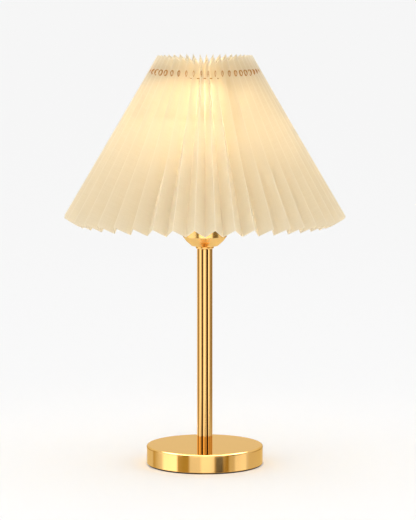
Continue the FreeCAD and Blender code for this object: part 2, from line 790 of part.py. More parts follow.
def cord_circle():
    """Radius and height of the circle that the cord makes through the panels' holes."""
    outer_top, outer_end = fold_line(True, 0)
    inner_top, inner_end = fold_line(False, 0)
    share = number("CordShare")
    mountain = outer_top + (outer_end - outer_top) * share
    valley = inner_top + (inner_end - inner_top) * share
    place = valley + (turn(mountain, 180 / number("PleatCount")) - valley) * number("CordReach")
    return math.hypot(place.x, place.y), place.z


# ---------------------------------------------------------------- the lamp
base_cover()
base_weight()
base_fittings()
cord_grommet()
terminal_block()
tie_rod()
stem_tube()
stem_collar()
inner_wires()
holder_cup()
lampholder_cap()
lampholder_insert()
lampholder_body()
lampholder_contacts()
bulb()
shade_frame()
shade_ring_nut()
pleated_shade()
document.recompute()

for thing in document.Objects:
    if "Invalid" in thing.State or "Error" in thing.State:
        raise RuntimeError(f"{thing.Label} failed: {thing.State}")
os.makedirs("parts", exist_ok=True)
for thing in NODES:
    shape = thing.Shape
    if shape.isNull() or not shape.isValid() or not shape.Solids:
        raise RuntimeError(f"{thing.Label} has no valid solid")
    shape.exportStep(f"parts/{thing.Label}.step")
    print(f"{thing.Label}: {len(shape.Solids)} solid(s), {shape.Volume / 1000:.2f} cm3")
print(len(NODES), "sub-parts")
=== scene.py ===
# %% [markdown]
# # Table lamp with a pleated shade
# The lamp is an assembly: a spun brass-finish base, a reeded stem, a cup with the lampholder in
# it, a wire frame, a pleated shade that rests on the frame, and a screw-in bulb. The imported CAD
# model gives every size and every joint. This script lays finer surfaces and finishes over it,
# one body at a time, and sets up a small studio to look at the result.

# %% Load the frame
import json
import math

import bmesh
import bpy
from mathutils import Matrix, Vector


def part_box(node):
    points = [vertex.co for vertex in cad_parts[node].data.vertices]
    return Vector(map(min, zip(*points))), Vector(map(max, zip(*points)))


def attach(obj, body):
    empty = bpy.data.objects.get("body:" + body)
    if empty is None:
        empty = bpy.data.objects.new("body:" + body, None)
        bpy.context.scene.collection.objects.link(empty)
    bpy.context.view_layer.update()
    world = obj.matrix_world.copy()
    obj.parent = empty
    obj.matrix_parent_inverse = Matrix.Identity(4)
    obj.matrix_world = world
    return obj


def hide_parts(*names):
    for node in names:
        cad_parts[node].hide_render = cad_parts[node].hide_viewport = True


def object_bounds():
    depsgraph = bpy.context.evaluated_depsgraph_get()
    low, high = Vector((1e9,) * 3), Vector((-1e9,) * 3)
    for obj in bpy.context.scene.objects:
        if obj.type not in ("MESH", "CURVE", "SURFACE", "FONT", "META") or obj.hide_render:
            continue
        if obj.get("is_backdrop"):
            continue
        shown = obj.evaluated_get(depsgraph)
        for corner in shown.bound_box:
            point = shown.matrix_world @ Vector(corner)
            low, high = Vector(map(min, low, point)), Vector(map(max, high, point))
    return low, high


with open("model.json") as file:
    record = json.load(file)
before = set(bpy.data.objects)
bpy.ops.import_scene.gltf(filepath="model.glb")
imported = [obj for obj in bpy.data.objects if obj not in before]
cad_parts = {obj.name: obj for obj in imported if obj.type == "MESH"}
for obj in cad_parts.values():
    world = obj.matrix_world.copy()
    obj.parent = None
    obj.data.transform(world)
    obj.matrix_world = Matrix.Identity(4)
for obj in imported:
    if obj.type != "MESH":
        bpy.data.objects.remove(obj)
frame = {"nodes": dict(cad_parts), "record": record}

scene = bpy.context.scene
CAD_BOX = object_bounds()
MM = 0.001
TURN = 2 * math.pi

# %% [markdown]
# ## Tools
# A node tree is easier to read as a few calls than as fifty lines, so `add` makes a node, sets
# its properties and plugs its inputs in one go. The short functions after it do the same for one
# sum, one blend of two colours or one swept tube, and give back the socket with the result.


# %% Helpers for node trees
def add(tree, kind, inputs=None, **settings):
    """A new node. Inputs are values or sockets, by the input's name or number."""
    node = tree.nodes.new(kind)
    for name, value in settings.items():
        setattr(node, name, value)
    for key, value in (inputs or {}).items():
        if isinstance(value, bpy.types.NodeSocket):
            tree.links.new(value, node.inputs[key])
        else:
            node.inputs[key].default_value = value
    return node


def calc(tree, operation, *values):
    """The result of one sum."""
    return add(tree, "ShaderNodeMath", dict(enumerate(values)), operation=operation).outputs[0]


def vector(tree, operation, first, second=None):
    """The result of one vector sum. SCALE takes a number as its second value."""
    inputs = {0: first}
    if second is not None:
        inputs["Scale" if operation == "SCALE" else 1] = second
    outputs = add(tree, "ShaderNodeVectorMath", inputs, operation=operation).outputs
    return outputs["Value" if operation in ("LENGTH", "DOT_PRODUCT") else "Vector"]


def split(tree, value):
    """The X, Y and Z of a vector, by name."""
    return add(tree, "ShaderNodeSeparateXYZ", {0: value}).outputs


def join(tree, **parts):
    """A vector from its X, Y and Z. One that is left out is 0."""
    return add(tree, "ShaderNodeCombineXYZ", parts).outputs[0]


def linear(code):
    """A colour as a screen shows it, such as #E7BC76, in the values that light adds up in."""
    parts = [int(code[i : i + 2], 16) / 255 for i in (1, 3, 5)]
    return tuple(p / 12.92 if p <= 0.04045 else ((p + 0.055) / 1.055) ** 2.4 for p in parts) + (1,)


def ramp(tree, factor, stops):
    """A colour ramp through (position, colour or grey level) stops."""
    node = add(tree, "ShaderNodeValToRGB", {"Fac": factor})
    elements = node.color_ramp.elements
    while len(elements) < len(stops):
        elements.new(1.0)
    for element, (position, _) in zip(elements, stops):
        element.position = position
    for element, (_, value) in zip(elements, stops):
        element.color = value if isinstance(value, tuple) else (value, value, value, 1)
    return node.outputs["Color"]


def blend(tree, factor, first, second):
    """The first colour where the factor is 0, the second where it is 1."""
    return add(tree, "ShaderNodeMix", {0: factor, 6: first, 7: second}, data_type="RGBA").outputs[2]


def new_material(name):
    """A material with an empty node tree."""
    material = bpy.data.materials.new(name)
    material.use_nodes = True
    material.node_tree.nodes.clear()
    return material, material.node_tree


# %% Helpers for geometry trees
def group(name, sockets, outputs=(("Geometry", "Geometry"),)):
    """A geometry node group. Sockets are (name, kind, default value)."""
    tree = bpy.data.node_groups.new(name, "GeometryNodeTree")
    for title, kind in outputs:
        tree.interface.new_socket(title, in_out="OUTPUT", socket_type="NodeSocket" + kind)
    for title, kind, *value in sockets:
        socket = tree.interface.new_socket(title, in_out="INPUT", socket_type="NodeSocket" + kind)
        if value:
            socket.default_value = value[0]
    return tree, tree.nodes.new("NodeGroupInput").outputs, tree.nodes.new("NodeGroupOutput").inputs


def own_place(tree):
    """Every point's own X, Y and Z, by name."""
    return split(tree, add(tree, "GeometryNodeInputPosition").outputs[0])


def circle(tree, steps, radius):
    return add(tree, "GeometryNodeCurvePrimitiveCircle", {
        "Resolution": steps, "Radius": radius,
    }).outputs[0]


def tube(tree, line, section, caps=False):
    """A line that has been given the thickness of a section."""
    return add(tree, "GeometryNodeCurveToMesh", {
        "Curve": line, "Profile Curve": section, "Fill Caps": caps,
    }).outputs[0]


def moved(tree, geometry, place):
    """The geometry with every point at its new place."""
    return add(tree, "GeometryNodeSetPosition", {"Geometry": geometry, "Position": place}).outputs[0]


def raised(tree, geometry, level):
    return add(tree, "GeometryNodeTransform", {
        "Geometry": geometry, "Translation": join(tree, Z=level),
    }).outputs[0]


def joined(tree, *parts):
    both = add(tree, "GeometryNodeJoinGeometry")
    for part in parts:
        tree.links.new(part, both.inputs[0])
    return both.outputs[0]


def deliver(tree, geometry, material, out):
    """Makes copies real, gives the geometry its material and sends it out of the tree."""
    real = add(tree, "GeometryNodeRealizeInstances", {0: geometry}).outputs[0]
    done = add(tree, "GeometryNodeSetMaterial", {"Geometry": real, "Material": material})
    tree.links.new(done.outputs[0], out[0])


# %% Helpers for meshes
def new_object(name, mesh):
    piece = bpy.data.objects.new(name, mesh)
    scene.collection.objects.link(piece)
    return piece


def smooth(mesh, angle=32):
    """Smooth faces, with a hard edge wherever two of them meet at more than the angle."""
    mesh.shade_smooth()
    mesh.set_sharp_from_angle(angle=math.radians(angle))


def rounded(corners, steps=6):
    """An outline through (radius, height) corners. A third number rounds its corner."""
    points = []
    for index, corner in enumerate(corners):
        here = Vector(corner[:2])
        if len(corner) == 2:
            points.append(here)
            continue
        before = (Vector(corners[index - 1][:2]) - here).normalized()
        after = (Vector(corners[(index + 1) % len(corners)][:2]) - here).normalized()
        half = before.angle(after) / 2
        centre = here + (before + after).normalized() * corner[2] / math.sin(half)
        first = here + before * corner[2] / math.tan(half) - centre
        turn = first.angle_signed(here + after * corner[2] / math.tan(half) - centre)
        for step in range(steps + 1):
            points.append(centre + Matrix.Rotation(-turn * step / steps, 2) @ first)
    return points


def held(points, gap=0.25):
    """Adds a point near each end of every long straight, so that only the corners shade round."""
    more = []
    for here, after in zip(points, points[1:] + points[:1]):
        more.append(here)
        way = after - here
        if way.length > 5 * gap:
            more += [here + way * gap / way.length, after - way * gap / way.length]
    return more


def lathe(name, corners, sides=128, radius=None):
    """A closed outline, in mm, turned about the vertical axis. radius(r, z, angle) may change the
    radius of a point, as for knurls or a thread."""
    outline = held(rounded(corners))
    points = []
    for side in range(sides):
        angle = TURN * side / sides
        for r, z in outline:
            if radius:
                r = radius(r, z, angle)
            points.append((r * MM * math.cos(angle), r * MM * math.sin(angle), z * MM))
    count = len(outline)
    faces = []
    for side in range(sides):
        for i in range(count):
            j = (i + 1) % count
            near = side * count
            far = (side + 1) % sides * count
            faces.append((near + i, near + j, far + j, far + i))
    mesh = bpy.data.meshes.new(name)
    mesh.from_pydata(points, [], faces)
    tidy = bmesh.new()
    tidy.from_mesh(mesh)
    bmesh.ops.remove_doubles(tidy, verts=tidy.verts, dist=1e-7)
    bmesh.ops.dissolve_degenerate(tidy, edges=tidy.edges, dist=1e-7)
    bmesh.ops.recalc_face_normals(tidy, faces=tidy.faces)
    tidy.to_mesh(mesh)
    tidy.free()
    smooth(mesh)
    return new_object(name, mesh)


def baked(name, mesh, modifiers, angle=32):
    """The plain mesh that the modifiers make of a mesh. Each is (kind, {setting: value}), and a
    geometry tree's settings are its input names."""
    source = new_object("source", mesh)
    for kind, settings in modifiers:
        modifier = source.modifiers.new(kind, kind)
        if kind == "NODES":
            modifier.node_group = settings.pop("tree")
            for item in modifier.node_group.interface.items_tree:
                if item.in_out == "INPUT" and item.name in settings:
                    modifier[item.identifier] = settings[item.name]
        else:
            for setting, value in settings.items():
                setattr(modifier, setting, value)
    graph = bpy.context.evaluated_depsgraph_get()
    made = bpy.data.meshes.new_from_object(source.evaluated_get(graph), depsgraph=graph)
    made.name = name
    bpy.data.objects.remove(source)
    smooth(made, angle)
    return new_object(name, made)


def fit(piece, body, nodes, material):
    """Puts a finished piece on its body, in place of the plain CAD nodes."""
    piece.data.materials.clear()
    piece.data.materials.append(material)
    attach(piece, body)
    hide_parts(*nodes)
    print(piece.name, len(piece.data.polygons), "faces")


def box(node):
    """A CAD node's (radius, lowest, highest) in mm."""
    low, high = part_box(node)
    return high[0] / MM, low[2] / MM, high[2] / MM


# %% [markdown]
# ## Finishes
# Each material is named after the real finish. The metal and plastic ones share one recipe: a
# base colour, a roughness that wanders a little, as handled surfaces do, and sometimes a fine
# grain in relief. The pattern sizes are in millimetres of the object's own coordinates.


# %% Metal, plastic and rubber
def finish(name, colour, roughness, metallic=0.0, wander=0.03, patch=18, grain=0.0, grain_size=0.4,
           emission=0.0, glow=None, edge="#FFFFFF", painted_groove_shade=None):
    """A material. wander is how far the roughness strays over patches of that size, grain is the
    relief's height, and edge is the tint that a grazing look shows; lengths are in mm. A painted
    shade for the grooves between reeds is given as (radius, radius, colour): inside the first radius
    the metal has that darker colour, and it is as bright as the rest outside the second."""
    material, tree = new_material(name)
    place = add(tree, "ShaderNodeTexCoord").outputs["Object"]
    cloud = add(tree, "ShaderNodeTexNoise", {"Vector": place, "Scale": 1 / (patch * MM), "Detail": 3.0})
    rough = add(tree, "ShaderNodeMapRange", {
        "Value": cloud.outputs["Fac"], "From Min": 0.3, "From Max": 0.7,
        "To Min": max(roughness - wander, 0.02), "To Max": roughness + wander,
    }).outputs["Result"]
    # a painted shade: the colour darkens towards the axis, inside the grooves
    base = linear(colour)
    if painted_groove_shade:
        inner, outer, groove_shade_colour = painted_groove_shade
        reach = vector(tree, "LENGTH", vector(tree, "MULTIPLY", place, (1.0, 1.0, 0.0)))
        unshaded = add(tree, "ShaderNodeMapRange", {
            "Value": reach, "From Min": inner * MM, "From Max": outer * MM,
        }).outputs["Result"]
        base = blend(tree, unshaded, linear(groove_shade_colour), base)
    surface = add(tree, "ShaderNodeBsdfPrincipled", {
        "Base Color": base, "Metallic": metallic, "Roughness": rough,
        "Specular Tint": linear(edge),
        "Emission Color": linear(glow or colour), "Emission Strength": emission,
    })
    if grain:
        fine = add(tree, "ShaderNodeTexNoise", {
            "Vector": place, "Scale": 1 / (grain_size * MM), "Detail": 2.0,
        })
        relief = add(tree, "ShaderNodeBump", {
            "Height": fine.outputs["Fac"], "Distance": grain * MM, "Strength": 1.0,
        })
        tree.links.new(relief.outputs["Normal"], surface.inputs["Normal"])
    add(tree, "ShaderNodeOutputMaterial", {"Surface": surface.outputs["BSDF"]})
    return material


PLATING = {"metallic": 1.0, "edge": "#F9E6BC"}
BRASS = finish("Polished_brass_plating", "#EFC078", 0.075, wander=0.02, patch=25, **PLATING)
# the grooves between the stem's reeds are darkened: a painted shade
REEDED_GROOVE_SHADED = finish("Polished_brass_plating_painted_shade_in_grooves", "#EFC078", 0.06, wander=0.02, patch=25,
                painted_groove_shade=(6.9, 7.3, "#6B3A0A"), **PLATING)
SATIN = finish("Satin_brass_plating", "#F2C67C", 0.2, wander=0.03, patch=12, **PLATING)
CAST = finish("Cast_iron_painted_grey", "#4A4B4C", 0.6, grain=0.05, grain_size=1.2)
FOAM = finish("Foam_rubber_die_cut", "#17171A", 0.9, grain=0.08, grain_size=0.5)
RUBBER = finish("Soft_rubber_moulded_cream", "#CFC3AC", 0.55, grain=0.01)
ZINC = finish("Steel_bright_zinc", "#C9CACB", 0.28, metallic=1.0, wander=0.06, patch=4)
NYLON = finish("Nylon_moulded_natural", "#E9E6DC", 0.5)
LIVE = finish("Wire_sleeve_brown", "#5A3420", 0.45)
NEUTRAL = finish("Wire_sleeve_blue", "#2A5FA8", 0.45)
THERMOSET = finish("Thermoset_pressed_white", "#EFECE4", 0.38, grain=0.004)
CONTACT = finish("Brass_strip_stamped", "#D9B26A", 0.25, metallic=1.0)
ENAMEL = finish("Powder_coat_white", "#EFECE5", 0.35, grain=0.012, grain_size=0.7)
NUT = finish("Nut_plastic_moulded_white", "#F1EFE9", 0.3, grain=0.003)
NICKEL = finish("Nickel_plate_rolled", "#D8D5CE", 0.18, metallic=1.0, wander=0.05, patch=5)
GLASSY = finish("Insulator_glassy_black", "#0B0B0D", 0.12)
SHELL = finish("Bulb_body_white", "#F2F1EE", 0.3, grain=0.003)
BOARD = finish("Solder_mask_white", "#EDEDE8", 0.35)
LAMINATE = finish("Driver_laminate_green", "#1C5A34", 0.45)
PHOSPHOR = finish("Phosphor_lit", "#F2D45A", 0.5, emission=6.0, glow="#FFDCA8")
OPAL = finish("Opal_cover_lit", "#FFF6E6", 0.35, emission=18.0, glow="#FFFBF2")
print(len(bpy.data.materials), "finishes")

# %% [markdown]
# The shade's sheet is a thin woven cloth on a stiff clear film. Light from the studio bounces off
# it and light from the bulb soaks through it, so the material is a diffuse surface mixed with a
# translucent one. Its threads follow the strip as it was before folding, so they are drawn from
# the strip's own flat coordinates, which its UV map carries as shares of the strip's length.

# %% Sizes of the strip, in mm
PANEL = 18.2
FOLD_LENGTH = 190.1
PLEATS = 44
STRIP = 2 * PLEATS * PANEL
THICKNESS = 0.4
HOLE_ROW = 0.087 * FOLD_LENGTH  # from the top edge down to the middle of every hole
SLOT = (1.5, 2.75)  # half its width and half its length
SLOT_PLACE = 2.4  # from an outer fold to the middle of the slot beside it
SLOT_SHADE_REACH = (0.7, 0.9)  # how far the painted shade reaches past the slot
FOLD_HIGHLIGHT_REACH = 0.7  # how far the painted highlight reaches on each side of a fold
print("a strip", round(STRIP, 1), "by", FOLD_LENGTH, "mm, in", 2 * PLEATS, "panels")


# %% Pleated sheet
def pleated_sheet():
    material, tree = new_material("Woven_cloth_on_film_heat_pleated")
    flat = add(tree, "ShaderNodeUVMap", uv_map="Strip").outputs["UV"]
    in_mm = vector(tree, "SCALE", flat, STRIP)
    place = split(tree, in_mm)
    # threads along the folds, and slubs across them that run a few centimetres
    threads = []
    for per_mm, detail in (((2.2, 0.03, 1.0), 3.0), ((0.05, 1.8, 1.0), 2.0)):
        drawn = add(tree, "ShaderNodeMapping", {"Vector": in_mm, "Scale": per_mm}).outputs[0]
        threads.append(add(tree, "ShaderNodeTexNoise", {
            "Vector": drawn, "Scale": 1.0, "Detail": detail,
        }).outputs[0])
    weave = calc(tree, "MULTIPLY", calc(tree, "ADD", *threads), 0.5)
    # a painted highlight: the sheet's colour is lighter along every fold
    from_fold = calc(tree, "PINGPONG", place["X"], PANEL / 2)
    fold_highlight = calc(tree, "SMOOTH_MIN", calc(tree, "DIVIDE", from_fold, FOLD_HIGHLIGHT_REACH), 1.0, 0.3)
    tone = ramp(tree, weave, [
        (0.30, linear("#E2D6B8")), (0.50, linear("#EBE0C5")), (0.70, linear("#F3EAD4")),
    ])
    colour = blend(tree, fold_highlight, linear("#FBF4E0"), tone)
    # a painted shade: the sheet is darker round each slot, in front and in the light that comes through
    from_outer = calc(tree, "PINGPONG", calc(tree, "ADD", place["X"], PANEL), PANEL)
    away = (calc(tree, "SUBTRACT", from_outer, SLOT_PLACE), calc(tree, "SUBTRACT", place["Y"], HOLE_ROW))
    slot_shade = calc(tree, "ADD", *[
        calc(tree, "POWER", calc(tree, "DIVIDE", distance, half + reach), 2.0)
        for distance, half, reach in zip(away, SLOT, SLOT_SHADE_REACH)
    ])
    unshaded = ramp(tree, slot_shade, [(0.75, 0.0), (1.0, 1.0)])
    colour = blend(tree, unshaded, linear("#CFA871"), colour)
    soaked = blend(tree, unshaded, linear("#C89B5C"), linear("#FFFAF0"))
    relief = add(tree, "ShaderNodeBump", {"Height": weave, "Distance": 0.05 * MM}).outputs[0]
    front = add(tree, "ShaderNodeBsdfPrincipled", {
        "Base Color": colour, "Roughness": 0.62, "Normal": relief,
    }).outputs[0]
    through = add(tree, "ShaderNodeBsdfTranslucent", {"Color": soaked, "Normal": relief}).outputs[0]
    mixed = add(tree, "ShaderNodeMixShader", {0: 0.5, 1: front, 2: through}).outputs[0]
    add(tree, "ShaderNodeOutputMaterial", {"Surface": mixed})
    return material


SHEET = pleated_sheet()
# the cord is cream; its tan here is a painted shade for the grooves that it lies in
COTTON_SHADED_TAN = finish("Cotton_cord_twisted_painted_shade", "#B5935F", 0.85, grain=0.05, grain_size=0.25)

# %% [markdown]
# ## Base
# The cover is a disc of thin metal, spun over a form so that its edge rolls down in a small
# radius, then polished and plated. The outline is turned about the axis with enough sides for
# clean reflections. The lead's bush is moulded rubber in a hole at the rear.

# %% Base cover and bush
ROD_HOLE = 4.2
radius, low, high = box("base_cover")
WALL = 1.2
LIP = 0.35
cover = lathe("base_cover_spun", [
    (radius - WALL, low), (radius - LIP, low, 0.3), (radius, low + LIP, 0.3), (radius, high, 1.8),
    (ROD_HOLE, high), (ROD_HOLE, high - WALL), (radius - WALL, high - WALL, 0.6),
], sides=320)
bush_low, bush_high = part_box("cord_grommet")
bush_z = (bush_low[2] + bush_high[2]) / 2
drill = lathe("drill", [(0, -12), (4.4, -12), (4.4, 12), (0, 12)], sides=48)
drill.data.transform(Matrix.Translation((0, radius * MM, bush_z)) @ Matrix.Rotation(math.pi / 2, 4, "X"))
hole = cover.modifiers.new("hole", "BOOLEAN")
hole.object = drill
hole.operation = "DIFFERENCE"
graph = bpy.context.evaluated_depsgraph_get()
drilled = bpy.data.meshes.new_from_object(cover.evaluated_get(graph), depsgraph=graph)
cover.modifiers.clear()
cover.data = drilled
smooth(cover.data)
bpy.data.objects.remove(drill)
fit(cover, "lamp", ["base_cover"], BRASS)

FLANGE = 1.5
bush = lathe("cord_bush_moulded", [
    (3.0, -3.3), (5.2, -3.3, 0.3), (5.2, -1.5, 0.2), (4.2, -1.5), (4.2, 0), (5.5, 0),
    (5.5, FLANGE, 0.7), (3.0, FLANGE, 0.6),
], sides=64)
bush.data.transform(Matrix.Translation((0, bush_high[1] - FLANGE * MM, bush_z))
                    @ Matrix.Rotation(-math.pi / 2, 4, "X"))
fit(bush, "lamp", ["cord_grommet"], RUBBER)

# %% [markdown]
# ## Stem
# A drawn tube with eight convex reeds. The die that it is pulled through has this outline, so the
# tree makes the outline from a circle (each point slides out to the nearest reed's arc) and
# sweeps it up the axis. Changing the number of reeds or their radius redraws the whole stem.


# %% Reeded stem
def reeded_tube():
    tree, given, out = group("Reeded tube", [
        ("Geometry", "Geometry"), ("Reeds", "Int", 8), ("Reed centre", "Float"),
        ("Reed radius", "Float"), ("Bottom", "Float"), ("Top", "Float"),
    ])
    point = own_place(tree)
    angle = calc(tree, "ARCTAN2", point["X"], point["Y"])
    pitch = calc(tree, "DIVIDE", TURN, given["Reeds"])
    nearest = calc(tree, "MULTIPLY", calc(tree, "ROUND", calc(tree, "DIVIDE", angle, pitch)), pitch)
    off = calc(tree, "SUBTRACT", angle, nearest)
    side = calc(tree, "MULTIPLY", given["Reed centre"], calc(tree, "SINE", off))
    depth = calc(tree, "SQRT", calc(tree, "SUBTRACT", calc(tree, "POWER", given["Reed radius"], 2.0),
                                    calc(tree, "POWER", side, 2.0)))
    reach = calc(tree, "MULTIPLY_ADD", given["Reed centre"], calc(tree, "COSINE", off), depth)
    place = join(tree, X=calc(tree, "MULTIPLY", calc(tree, "SINE", angle), reach),
                 Y=calc(tree, "MULTIPLY", calc(tree, "COSINE", angle), reach))
    outline = moved(tree, circle(tree, 320, 1.0), place)
    line = add(tree, "GeometryNodeCurvePrimitiveLine", {
        "Start": join(tree, Z=given["Bottom"]), "End": join(tree, Z=given["Top"]),
    })
    deliver(tree, tube(tree, line.outputs[0], outline, caps=True), REEDED_GROOVE_SHADED, out)
    return tree


REED = 2.2
radius, low, high = box("stem_tube")
stem = baked("stem_reeded", bpy.data.meshes.new("seed"), [("NODES", {
    "tree": reeded_tube(), "Bottom": low * MM, "Top": high * MM,
    "Reed centre": (radius - REED) * MM, "Reed radius": REED * MM,
})])
fit(stem, "lamp", ["stem_tube"], REEDED_GROOVE_SHADED)

radius, low, high = box("stem_collar")
collar = lathe("stem_collar_turned", [
    (ROD_HOLE, low), (radius, low, 1.2), (radius, high, 1.2), (ROD_HOLE, high),
], sides=160)
fit(collar, "lamp", ["stem_collar"], BRASS)

# %% [markdown]
# ## Cup
# Spun like the base: a short cone, pressed very slightly round, that rolls up into a straight
# wall. Its plating is satin, so the roll and the cone spread the light of the room softly.

# %% Holder cup
radius, low, high = box("holder_cup")
CONE = 9.5  # how high the cone is
CUP_WALL = 0.8
cup = lathe("holder_cup_spun", [
    (ROD_HOLE, low), (13.5, low, 0.8), (18.7, low + 4.6, 9.0), (radius, low + CONE, 1.2),
    (radius, high - 0.2, 0.2), (radius - CUP_WALL, high),
    (radius - CUP_WALL, low + CONE + 0.4, 1.4), (13.1, low + CUP_WALL), (ROD_HOLE, low + CUP_WALL),
], sides=256)
fit(cup, "lamp", ["holder_cup"], SATIN)

# %% [markdown]
# ## Lampholder and ring nut
# The holder's skirt has a coarse thread outside for the ring nut that clamps the shade's fitter.
# The thread is one ridge wound round the skirt: a thin tube along a helix, half sunk in the wall.


# %% Threaded skirt
def wound_thread():
    tree, given, out = group("Wound thread", [
        ("Geometry", "Geometry"), ("Turns", "Float"), ("Radius", "Float"), ("Bottom", "Float"),
        ("Height", "Float"), ("Ridge", "Float"),
    ])
    helix = add(tree, "GeometryNodeCurveSpiral", {
        "Resolution": 64, "Rotations": given["Turns"], "Start Radius": given["Radius"],
        "End Radius": given["Radius"], "Height": given["Height"],
    })
    ridge = tube(tree, helix.outputs[0], circle(tree, 6, given["Ridge"]), caps=True)
    both = joined(tree, raised(tree, ridge, given["Bottom"]), given["Geometry"])
    deliver(tree, both, THERMOSET, out)
    return tree


radius, low, high = box("lampholder_body")
core = radius - 0.5
step = low + 6.2  # where the wide bore below meets the narrow one
skirt = lathe("skirt_core", [
    (18.1, low), (core, low), (core, high, 0.8), (15.2, high, 0.4), (15.2, step), (18.1, step),
], sides=96)
holder = baked("lampholder_skirt_threaded", skirt.data, [("NODES", {
    "tree": wound_thread(), "Turns": 7.0, "Radius": core * MM, "Bottom": (high - 15.2) * MM,
    "Height": 14 * MM, "Ridge": 0.48 * MM,
})])
bpy.data.objects.remove(skirt)
fit(holder, "lamp", ["lampholder_body"], THERMOSET)

# %% Ring nut with finger grips
radius, low, high = box("shade_ring_nut")
HUB = 24.0
GRIPS = 24
GRIP = 1.5
NUT_BORE = 19.86
flange_top = low + 2.5


def gripped(r, z, angle):
    """Scallops a hub point inwards where one of the round finger grips cuts it."""
    if z < flange_top + 0.2 or r < HUB - GRIP:
        return r
    pitch = TURN / GRIPS
    off = (angle + pitch / 2) % pitch - pitch / 2
    side = HUB * math.sin(off)
    if abs(side) >= GRIP:
        return r
    return min(r, HUB * math.cos(off) - math.sqrt(max(GRIP**2 - side**2, 0)))


nut = lathe("ring_nut_moulded", [
    (NUT_BORE, low), (radius, low, 0.3), (radius, flange_top, 0.6), (HUB, flange_top),
    (HUB, flange_top + 0.3), (HUB, high, 0.7), (NUT_BORE, high, 0.5),
], sides=GRIPS * 20, radius=gripped)
fit(nut, "ring_nut", ["shade_ring_nut"], NUT)

# %% [markdown]
# ## Shade frame
# Two rings of steel wire, butt-welded, stand on four bent wires from a flat pressed ring. The
# tree takes one arm as a bare line with sharp corners, rounds the corners as a bending jig would,
# gives it the wire's thickness, repeats it round the axis and adds a weld bead at each crossing.


# %% Wire frame
def wire_frame():
    tree, given, out = group("Wire frame", [
        ("Geometry", "Geometry"), ("Arms", "Int", 4), ("First arm", "Float"),
        ("Arm wire", "Float"), ("Bend", "Float", 0.006), ("Ring wire", "Float"),
        ("Lower radius", "Float"), ("Lower level", "Float"), ("Upper radius", "Float"),
        ("Upper level", "Float"), ("Bead", "Float", 0.0021),
    ])
    arm = add(tree, "GeometryNodeMeshToCurve", {0: given["Geometry"]})
    bent = add(tree, "GeometryNodeFilletCurve", {
        "Curve": arm.outputs[0], "Radius": given["Bend"], "Count": 8, "Limit Radius": True,
    }, mode="POLY")
    bar = tube(tree, bent.outputs[0], circle(tree, 20, given["Arm wire"]), caps=True)
    step = calc(tree, "DIVIDE", TURN, given["Arms"])
    index = add(tree, "GeometryNodeInputIndex").outputs[0]
    facing = calc(tree, "MULTIPLY_ADD", index, step, given["First arm"])
    turn = join(tree, Z=facing)
    stations = add(tree, "GeometryNodePoints", {"Count": given["Arms"]})
    arms = add(tree, "GeometryNodeInstanceOnPoints", {
        "Points": stations.outputs[0], "Instance": bar, "Rotation": turn,
    })
    bead_shape = add(tree, "GeometryNodeMeshUVSphere", {
        "Segments": 16, "Rings": 10, "Radius": given["Bead"],
    })
    parts = [arms.outputs[0]]
    wire = circle(tree, 20, given["Ring wire"])
    for name in ("Lower", "Upper"):
        ring_radius, level = given[name + " radius"], given[name + " level"]
        ring = tube(tree, circle(tree, 160, ring_radius), wire)
        # each bead sits a little inside and below the middle of the ring's wire
        inside = calc(tree, "SUBTRACT", ring_radius, 0.001)
        spot = join(tree, X=calc(tree, "MULTIPLY", calc(tree, "COSINE", facing), inside),
                    Y=calc(tree, "MULTIPLY", calc(tree, "SINE", facing), inside),
                    Z=calc(tree, "SUBTRACT", level, 0.0006))
        places = add(tree, "GeometryNodePoints", {"Count": given["Arms"], "Position": spot})
        beads = add(tree, "GeometryNodeInstanceOnPoints", {
            "Points": places.outputs[0], "Instance": bead_shape.outputs[0], "Rotation": turn,
            "Scale": (0.8, 1.25, 1.0),
        })
        parts += [raised(tree, ring, level), beads.outputs[0]]
    deliver(tree, joined(tree, *parts), ENAMEL, out)
    return tree


SLANT = math.radians(30.65)
ARM_WIRE = 1.4
WELD = 0.35  # how deep two welded wires sink into each other
lower, lower_bottom, lower_top = box("lower_ring")
upper, upper_bottom, upper_top = box("upper_ring")
RING_WIRE = (lower_top - lower_bottom) / 2
lower -= RING_WIRE
upper -= RING_WIRE
lower_z = (lower_bottom + lower_top) / 2
upper_z = (upper_bottom + upper_top) / 2
fitter_radius, fitter_low, fitter_high = box("fitter_ring")
inset = ARM_WIRE + RING_WIRE - WELD
foot = fitter_high + ARM_WIRE - WELD


def beside(ring_radius, ring_z, up):
    """A point of an arm: inside a ring, and so far up the shade's slant from it."""
    return (ring_radius - inset * math.cos(SLANT) - up * math.sin(SLANT),
            ring_z - inset * math.sin(SLANT) + up * math.cos(SLANT))


arm_line = [
    (28.5, foot), (fitter_radius + 2, foot), beside(lower, lower_z, -3),
    beside(upper, upper_z, 2 * RING_WIRE),
]
line = bpy.data.meshes.new("arm line")
line.from_pydata([(r * MM, 0, z * MM) for r, z in arm_line], [(0, 1), (1, 2), (2, 3)], [])
wires = baked("shade_frame_wires", line, [("NODES", {
    "tree": wire_frame(), "First arm": math.radians(-63), "Arm wire": ARM_WIRE * MM,
    "Ring wire": RING_WIRE * MM, "Lower radius": lower * MM, "Lower level": lower_z * MM,
    "Upper radius": upper * MM, "Upper level": upper_z * MM,
})])
fit(wires, "shade_frame", ["frame_arms", "lower_ring", "upper_ring"], ENAMEL)

FITTER_BORE = 20.1
fitter = lathe("fitter_pressed", [
    (FITTER_BORE, fitter_low, 0.3), (fitter_radius, fitter_low, 0.5),
    (fitter_radius, fitter_high, 0.5), (FITTER_BORE, fitter_high, 0.3),
], sides=160)
fit(fitter, "shade_frame", ["fitter_ring"], ENAMEL)

